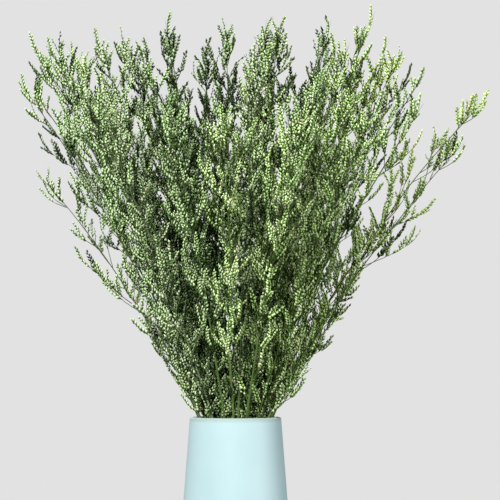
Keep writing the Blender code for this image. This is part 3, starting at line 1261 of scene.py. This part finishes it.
    def add_side_ears(self, curve: Curve, start: float, end: float, spacing: float) -> None:
        """Ears round a line, each turned on from the last, a little smaller towards its end.

        Args:
            curve: The twig or stem that carries them.
            start: How far along the first one is.
            end: How far along they stop.
            spacing: How far apart they are, as a share of the usual step.
        """
        turn = self.rng.uniform(0, FULL_TURN)
        spot = start
        while spot < end:
            turn += GOLDEN_ANGLE + self.rng.uniform(-self.ear_turn, self.ear_turn)
            lean = self.rng.uniform(*self.ear_lean)
            way = side_way(curve.way(spot), turn, lean, self.ear_rise)
            size = mix_numbers(1.0, self.last_ear_size, (spot - start) / (end - start))
            size *= mix_numbers(1.0, self.open_size, self.openness)
            self.add_ear(self.draw_kind(self.side_weights), curve.at(spot), way, turn, size)
            step = self.rng.uniform(*self.ear_step) * spacing
            spot += step * mix_numbers(1.0, self.open_spacing, self.openness)

    def add_ear(self, kind: EarKind, point: Vector, way: Vector, turn: float, size: float) -> None:
        """Copies an ear of the stock into place.

        Args:
            kind: Which kind.
            point: Where it leaves its twig.
            way: Its direction.
            turn: Which way round it faces, where it stands upright.
            size: Its size for its kind.
        """
        face = UP + Vector((math.cos(turn), math.sin(turn), 0)) * self.ear_loose
        face = (face - way * face.dot(way)).normalized()
        turned = Matrix((face.cross(way), face, way)).transposed().to_4x4()
        scale = Matrix.Scale(size * self.rng.uniform(*self.ear_spread), 4)
        before = len(self.bm.verts)
        self.bm.from_mesh(self.ears.pick(kind, self.light_at(point), self.rng))
        self.bm.verts.ensure_lookup_table()
        space = Matrix.Translation(point) @ turned @ scale
        bmesh.ops.transform(self.bm, matrix=space, verts=self.bm.verts[before:])

    def light_at(self, point: Vector) -> float:
        """How much painted light a point's ears get, for their tint: painted shade in the bunch's
        heart, 1 outside, on top and low, times the branchlet's draw.
        """
        above = point.z - self.mouth_height
        lean = math.atan2(math.hypot(point.x, point.y), above + self.fan_depth)
        low = placed(above, self.rim_heights, (1.0, 0.0))
        light = max(placed(lean, self.shade_leans), placed(above, self.shade_heights), low)
        return light * self.branch_light

    def add_fine_branchlets(self, main: Curve) -> None:
        """Finer branchlets between the frame's shoots, up the whole stem above the mouth."""
        place = main.at(self.mouth)
        lowest, highest = self.ears_from
        inset = self.lip_room - math.hypot(place.x, place.y)
        start = self.mouth + min(max(self.lip_slope * inset, lowest), highest)
        low_end = min(self.mouth + self.low_ears, main.length - self.end_spike)
        self.draw_branch_light()
        if not self.bare:
            self.add_side_ears(main, start, low_end, 1.0)
        spot = start + self.bare + self.rng.uniform(*self.fine_start)
        turn = self.rng.uniform(0, FULL_TURN)
        while spot < main.length - self.end_spike:
            turn += GOLDEN_ANGLE + self.rng.uniform(-self.fine_turn, self.fine_turn)
            above = spot - self.mouth
            may_be_long = above > self.long_from and main.length - spot > self.long_needs
            is_long = may_be_long and self.rng.random() < self.long_share
            length = self.rng.uniform(*(self.long_length if is_long else self.fine_length))
            length *= placed(above, self.rim_reach, self.rim_lengths)
            points = self.fine_line(main, spot, turn, length)
            if self.inside(points[-1]):
                self.add_branchlet(points)
            share = placed(above, self.crowded_from, self.crowded_shares)
            opening = self.openness * placed(above, self.open_heights)
            spot += self.rng.uniform(*self.fine_step) * share * mix_numbers(1.0, self.open_gap, opening)

    def fine_line(self, main: Curve, spot: float, turn: float, length: float) -> list[Vector]:
        """The course of a fine branchlet, which leans out and then lifts."""
        root, along = main.at(spot), main.way(spot)
        way = side_way(along, turn, self.rng.uniform(*self.fine_lean), self.fine_rise)
        later = (way + UP * self.rng.uniform(*self.fine_lift)).normalized()
        middle = root + way * length * self.fine_bend
        return [root, middle, middle + later * length * (1 - self.fine_bend)]

    def inside(self, point: Vector) -> bool:
        """Whether a point is in the room that the whole object may fill."""
        return all(low < at < high for low, at, high in zip(self.room_low, point, self.room_high))


# Vase


@dataclass
class Vase:
    """A straight-tapered ceramic vase with a soft lip, turned in one piece."""

    height: float
    foot_radius: float = 0.0533
    top_radius: float = 0.0393
    wall: float = 0.0045
    floor: float = 0.006
    lip_round: float = 0.0018
    lip_glaze: Span = (0.0050, 0.0004)
    foot_round: float = 0.0030
    foot_ring: float = 0.0065
    foot_hollow: float = 0.0012
    ring_edge: Span = (0.0006, 0.0003)
    floor_round: Span = (0.004, 0.0012)
    bare_share: float = 0.25
    bare_slope: float = -0.3
    round_steps: int = 6
    wall_steps: int = 10
    sides: int = 144

    def wall_radius(self, height: float) -> float:
        """The outer radius at this height."""
        return mix_numbers(self.foot_radius, self.top_radius, height / self.height)

    def profile(self) -> list[Vector]:
        """The section, from the middle of the underside, round the lip, to the middle inside."""
        quarter = [math.pi / 2 * step / self.round_steps for step in range(self.round_steps + 1)]
        foot = Vector((self.wall_radius(self.foot_round) - self.foot_round, 0, self.foot_round))
        lip_height = self.height - self.lip_round
        outer = Vector((self.wall_radius(lip_height) - self.lip_round, 0, lip_height))
        inner = outer - Vector((self.wall - 2 * self.lip_round, 0, 0))
        corner = self.wall_radius(self.floor) - self.wall
        ring = foot.x - self.foot_ring
        across, up = self.ring_edge
        points = [Vector((0, 0, self.foot_hollow)), Vector((ring - 0.001, 0, self.foot_hollow))]
        points += [Vector((ring, 0, up)), Vector((ring + across, 0, 0))]
        points += [foot + Vector((math.sin(a), 0, -math.cos(a))) * self.foot_round for a in quarter]
        rise = [step / self.wall_steps for step in range(1, self.wall_steps)]
        low, high = points[-1], outer + Vector((self.lip_round, 0, 0))
        points += [low.lerp(high, share) for share in rise]
        points += [outer + Vector((math.cos(a), 0, math.sin(a))) * self.lip_round for a in quarter]
        points += [inner + Vector((-math.sin(a), 0, math.cos(a))) * self.lip_round for a in quarter]
        far, near = self.floor_round
        low = Vector((corner, 0, self.floor + far))
        points += [points[-1].lerp(low, share) for share in rise]
        points += [low, Vector((corner - near, 0, self.floor + near))]
        return points + [Vector((corner - far, 0, self.floor)), Vector((0, 0, self.floor))]

    def build(self) -> bpy.types.Object:
        """Turns the section round the axis, glazes it and leaves the clay of its foot bare.

        Returns:
            The vase's object, which rides and replaces the frame's.
        """
        bm = bmesh.new()
        verts = [bm.verts.new(point) for point in self.profile()]
        edges = [bm.edges.new(pair) for pair in zip(verts, verts[1:])]
        bmesh.ops.spin(
            bm,
            geom=verts + edges,
            axis=UP,
            cent=(0, 0, 0),
            angle=FULL_TURN,
            steps=self.sides,
            use_merge=True,
        )
        bmesh.ops.remove_doubles(bm, verts=bm.verts, dist=1e-6)
        bmesh.ops.recalc_face_normals(bm, faces=bm.faces)
        for face in bm.faces:
            face.smooth = True
            under = face.calc_center_median().z < self.foot_round * self.bare_share
            face.material_index = int(under and face.normal.z < self.bare_slope)
        mesh = bpy.data.meshes.new("glazed_vase")
        bm.to_mesh(mesh)
        bm.free()
        piece = add_object(mesh.name, mesh)
        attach(piece, BODY)
        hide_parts("vase")
        mesh.materials.append(GlazeFinish(*(self.height - drop for drop in self.lip_glaze)).make())
        mesh.materials.append(BisqueFinish().make())
        return piece


# Studio


@dataclass(frozen=True)
class AreaLight:
    """A soft square light."""

    name: str
    place: tuple[float, float, float]
    target: tuple[float, float, float]
    size: float
    power: float

    def add(self) -> None:
        """Hangs the light and points it at its target."""
        light = bpy.data.lights.new(self.name, "AREA")
        light.size = self.size
        light.energy = self.power
        lamp = add_object(self.name, light)
        lamp.location = self.place
        aim = Vector(self.target) - Vector(self.place)
        lamp.rotation_euler = aim.to_track_quat("-Z", "Y").to_euler()


@dataclass(frozen=True)
class Studio:
    """A pale floor, a plain pale surround, soft lights and the camera."""

    view_middle: Span = (0.0125, 0.324)
    view_width: float = 0.431
    distance: float = 5.0
    view_end: float = 20.0
    floor_radius: float = 1.4
    floor_drop: float = 0.0004
    floor_sides: int = 96
    floor_colour: Colour = (0.42, 0.42, 0.41)
    floor_roughness: float = 0.9
    surround: Colour = (1.0, 1.0, 1.0)
    backdrop_strength: float = 0.76
    surround_strength: float = 0.045
    lights: tuple[AreaLight, ...] = (
        AreaLight("key", (-0.95, -1.70, 1.85), (0.0, 0.0, 0.28), 0.40, 95.0),
        AreaLight("fill", (1.80, -0.90, 0.40), (0.0, 0.0, 0.22), 0.9, 22.5),
        AreaLight("back", (-0.70, 2.30, 1.00), (0.0, 0.0, 0.30), 1.2, 22.0),
    )

    def build(self) -> None:
        """Builds it all."""
        self.add_floor()
        self.add_surround()
        for light in self.lights:
            light.add()
        self.add_camera()

    def add_floor(self) -> None:
        """A round plain floor, just under the vase."""
        bm = bmesh.new()
        bmesh.ops.create_circle(
            bm,
            cap_ends=True,
            segments=self.floor_sides,
            radius=self.floor_radius,
            matrix=Matrix.Translation((0, 0, -self.floor_drop)),
        )
        mesh = bpy.data.meshes.new("studio_floor")
        bm.to_mesh(mesh)
        bm.free()
        made, nodes, shader = new_material("studio_floor")
        nodes.feed(shader, Base_Color=(*self.floor_colour, 1), Roughness=self.floor_roughness)
        mesh.materials.append(made)
        floor = add_object("studio_floor", mesh)
        floor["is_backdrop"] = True

    def add_surround(self) -> None:
        """An even pale light from all sides, and a backdrop that is lit more brightly."""
        world = bpy.data.worlds.new("studio")
        world.use_nodes = True
        nodes = Nodes(world.node_tree)
        seen = nodes.add("ShaderNodeLightPath")
        strength = self.surround_strength + (self.backdrop_strength - self.surround_strength) * seen
        background = world.node_tree.nodes["Background"]
        nodes.feed(background, Strength=strength, Color=(*self.surround, 1))
        bpy.context.scene.world = world
        bpy.context.scene.view_settings.view_transform = "Standard"

    def add_camera(self) -> None:
        """A camera square to the bunch, far enough off to flatten it as the photo does."""
        side, height = self.view_middle
        camera = bpy.data.cameras.new("camera")
        camera.angle = 2 * math.atan(self.view_width / 2 / self.distance)
        camera.clip_end = self.view_end
        holder = add_object("camera", camera)
        holder.location = (side, -self.distance, height)
        holder.rotation_euler = (math.radians(90), 0, 0)
        bpy.context.scene.camera = holder


@dataclass
class Bunch:
    """All sprays, made from the plan and given a green each."""

    plan: BunchPlan
    seed: int = 61
    room_beyond: float = 0.004
    yellow_middle: float = 0.48
    yellow_side: float = 1.8
    yellow_spread: float = 0.20
    most_off: float = 0.006

    def build(self) -> list[bpy.types.Object]:
        """Builds every spray.

        Returns:
            The pieces, in the order of their stems.
        """
        rng = random.Random(self.seed)
        ears = Ears(rng)
        ears.build()
        greens = [finish.make() for finish in PLANT_FINISHES]
        scratch = bpy.data.meshes.new("scratch")
        margin = Vector((1, 1, 1)) * self.room_beyond
        low, high = CAD_BOX[0] - margin, CAD_BOX[1] + margin
        pieces = []
        for stem in self.plan.grow():
            self.compare(stem)
            green = greens[self.draw_green(stem, rng)]
            spray = Spray(stem, ears, rng, green, scratch, self.plan.vase_height, low, high)
            pieces.append(spray.build())
            LOG.info("%s: %d faces", pieces[-1].name, len(pieces[-1].data.polygons))
        ears.drop()
        bpy.data.meshes.remove(scratch)
        return pieces

    def draw_green(self, stem: Stem, rng: random.Random) -> int:
        """Draws a spray's green, yellower towards the right, as the bunch is."""
        tip = stem.twigs[0].points[-1]
        yellowness = self.yellow_middle + self.yellow_side * tip.x + rng.gauss(0, self.yellow_spread)
        return min(max(int(yellowness * len(PLANT_FINISHES)), 0), len(PLANT_FINISHES) - 1)

    def compare(self, stem: Stem) -> None:
        """Reports how far a stem's line strays from the frame's solid."""
        low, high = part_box(stem.name)
        points = [point for twig in stem.twigs for point in twig.points]
        top = max(point.z for point in points)
        left, right = min(point.x for point in points), max(point.x for point in points)
        off = max(abs(top - high.z), abs(left - low.x), abs(right - high.x))
        if off > self.most_off:
            LOG.warning("%s is %.1f mm off its node", stem.name, off * 1000)


def write_sizes() -> None:
    """Writes the frame's box and the visual model's."""
    boxes = {"cad": CAD_BOX, "visual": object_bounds()}
    sizes = {name: [list(corner) for corner in box] for name, box in boxes.items()}
    LOG.info("sizes: %s", sizes)


def main() -> None:
    """Builds the vase, the bunch and the studio, and reports each piece."""
    logging.basicConfig(level=logging.INFO, format="%(name)s: %(message)s")
    piece = Vase(height=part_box("vase")[1].z).build()
    LOG.info("%s: %d faces", piece.name, len(piece.data.polygons))
    sprays = Bunch(BunchPlan()).build()
    LOG.info("%d sprays, %d faces", len(sprays), sum(len(one.data.polygons) for one in sprays))
    Studio().build()
    write_sizes()


if __name__ == "__main__":
    main()
